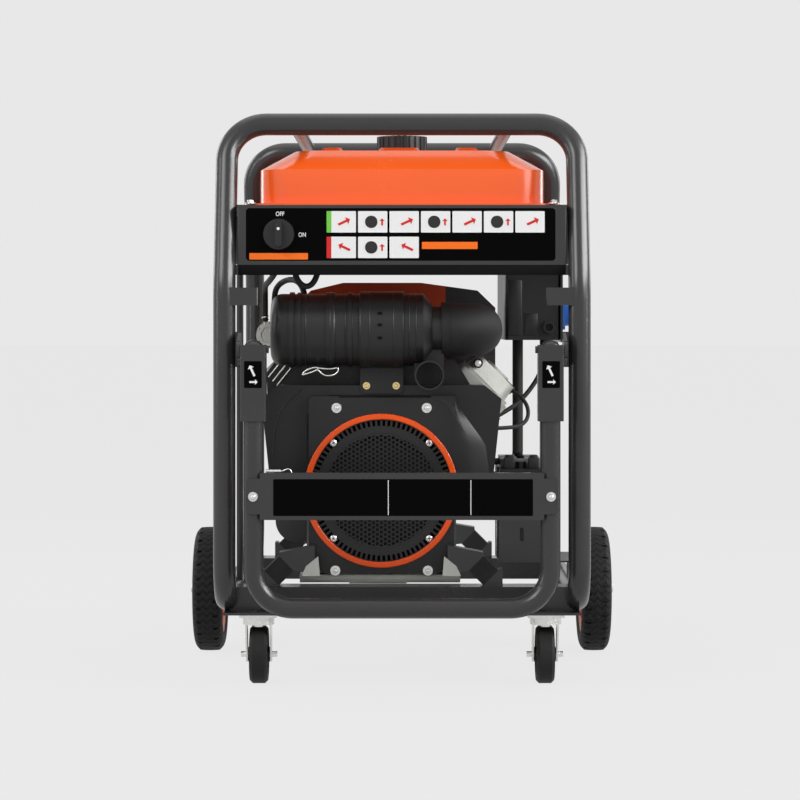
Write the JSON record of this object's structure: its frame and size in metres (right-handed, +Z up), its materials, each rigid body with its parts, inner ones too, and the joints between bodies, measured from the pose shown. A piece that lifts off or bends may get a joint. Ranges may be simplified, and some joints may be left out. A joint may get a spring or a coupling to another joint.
{
  "type": "portable generator",
  "caption": "Open-frame portable generator with V-twin engine and alternator in a tube frame, orange fuel tank, fold-up tow handle, swivel casters and rear wheels",
  "frame": {"origin": "on the floor under the middle of the bounding box", "axes": "+Z up, front (engine blower end) faces -Y, +X to the right seen from the front"},
  "size_m": [0.796, 1.024, 0.986],
  "materials": {
    "frame_paint": "satin powder coat",
    "orange_paint": "gloss enamel",
    "black_plastic": "fine moulded grain",
    "black_rubber": "matte",
    "tyre_rubber": "matte",
    "orange_plastic": "semi gloss",
    "cast_alloy": "as cast",
    "zinc_steel": "zinc plated",
    "dark_steel": "satin",
    "bare_steel": "turned",
    "heat_steel": "heat dulled",
    "copper_winding": "varnished",
    "blue_plastic": "semi gloss",
    "filter_paper": "pleated paper",
    "battery_case": "satin"
  },
  "bodies": {
    "frame": {"air_cleaner_body": "black_plastic", "air_cleaner_cap": "black_plastic", "air_cleaner_clamp": "black_plastic", "alternator_housing": "cast_alloy", "base_brackets": "frame_paint", "battery": "battery_case", "battery_hold_down": "zinc_steel", "battery_tray": "dark_steel", "blower_housing": "black_plastic", "carburettor": "cast_alloy", "caster_plates": "zinc_steel", "control_box": "black_plastic", "control_panel": "frame_paint", "crankcase": "cast_alloy", "cross_members": "frame_paint", "cylinders": "cast_alloy", "end_bell": "cast_alloy", "engine_cover": "orange_paint", "exhaust_pipes": "heat_steel", "fan_grille": "black_plastic", "fascia_panel": "frame_paint", "filter_element": "filter_paper", "frame_rails": "frame_paint", "front_hoop": "frame_paint", "fuel_tank": "orange_paint", "fuel_valve": "cast_alloy", "grille_ring": "orange_plastic", "handle_brackets": "frame_paint", "intake_elbow": "black_rubber", "leads": "black_rubber", "mount_brackets": "dark_steel", "muffler": "heat_steel", "rear_axle": "zinc_steel", "rear_hoop": "frame_paint", "rocker_covers": "cast_alloy", "rubber_mounts": "black_rubber", "socket_outlets": "blue_plastic", "starter_motor": "dark_steel", "stator": "copper_winding"},
    "tow_handle": {"handle_tube": "frame_paint", "handle_sleeves": "frame_paint", "handle_plate": "frame_paint"},
    "valve_knob": {"fuel_valve_knob": "black_plastic"},
    "cap_seal": {"fuel_cap_gasket": "black_rubber"},
    "filler_cap": {"fuel_cap": "black_plastic"},
    "crank_train": {"crankshaft": "bare_steel", "flywheel_fan": "cast_alloy", "alternator_rotor": "bare_steel"},
    "wheel_left": {"rim_left": "orange_plastic", "tyre_left": "tyre_rubber"},
    "wheel_right": {"rim_right": "orange_plastic", "tyre_right": "tyre_rubber"},
    "swivel_left": {"caster_fork_left": "zinc_steel"},
    "swivel_right": {"caster_fork_right": "zinc_steel"},
    "roller_left": {"caster_wheel_left": "black_rubber"},
    "roller_right": {"caster_wheel_right": "black_rubber"},
    "lid_front": {"socket_lid_front": "blue_plastic"},
    "lid_rear": {"socket_lid_rear": "blue_plastic"},
    "breaker": {"breaker_lever": "black_plastic"},
    "key": {"key_switch": "zinc_steel"}
  },
  "joints": [
    {"name": "handle_fold", "type": "hinge", "parent": "frame", "child": "tow_handle", "pos_m": [0, -0.492, 0.578], "axis": [-1, 0, 0], "range_deg": [0, 95]},
    {"name": "fuel_valve_turn", "type": "hinge", "parent": "frame", "child": "valve_knob", "pos_m": [-0.21, -0.44, 0.774], "axis": [0, 1, 0], "range_deg": [0, 90]},
    {"name": "cap_lift", "type": "slide", "parent": "frame", "child": "cap_seal", "axis": [0, 0, 1], "range_m": [0, 0.06]},
    {"name": "cap_turn", "type": "hinge", "parent": "cap_seal", "child": "filler_cap", "pos_m": [0, -0.05, 0.96], "axis": [0, 0, 1], "range_deg": [0, 90]},
    {"name": "crank_spin", "type": "hinge", "parent": "frame", "child": "crank_train", "pos_m": [-0.036, 0, 0.331], "axis": [0, 1, 0], "continuous": true},
    {"name": "wheel_left_roll", "type": "hinge", "parent": "frame", "child": "wheel_left", "pos_m": [-0.364, 0.09, 0.117], "axis": [1, 0, 0], "continuous": true},
    {"name": "wheel_right_roll", "type": "hinge", "parent": "frame", "child": "wheel_right", "pos_m": [0.364, 0.09, 0.117], "axis": [1, 0, 0], "continuous": true},
    {"name": "caster_left_swivel", "type": "hinge", "parent": "frame", "child": "swivel_left", "pos_m": [-0.247, -0.39, 0.11], "axis": [0, 0, 1], "continuous": true},
    {"name": "caster_left_roll", "type": "hinge", "parent": "swivel_left", "child": "roller_left", "pos_m": [-0.247, -0.37, 0.05], "axis": [1, 0, 0], "continuous": true},
    {"name": "caster_right_swivel", "type": "hinge", "parent": "frame", "child": "swivel_right", "pos_m": [0.247, -0.39, 0.11], "axis": [0, 0, 1], "continuous": true},
    {"name": "caster_right_roll", "type": "hinge", "parent": "swivel_right", "child": "roller_right", "pos_m": [0.247, -0.37, 0.05], "axis": [1, 0, 0], "continuous": true},
    {"name": "lid_front_open", "type": "hinge", "parent": "frame", "child": "lid_front", "pos_m": [0.3363, -0.03, 0.685], "axis": [0, -1, 0], "range_deg": [0, 105]},
    {"name": "lid_rear_open", "type": "hinge", "parent": "frame", "child": "lid_rear", "pos_m": [0.3363, 0.07, 0.685], "axis": [0, -1, 0], "range_deg": [0, 105]},
    {"name": "breaker_flip", "type": "hinge", "parent": "frame", "child": "breaker", "pos_m": [0.289, -0.04, 0.735], "axis": [0, 1, 0], "range_deg": [-30, 30]},
    {"name": "key_turn", "type": "hinge", "parent": "frame", "child": "key", "pos_m": [0.289, -0.13, 0.735], "axis": [1, 0, 0], "range_deg": [0, 80]}
  ]
}
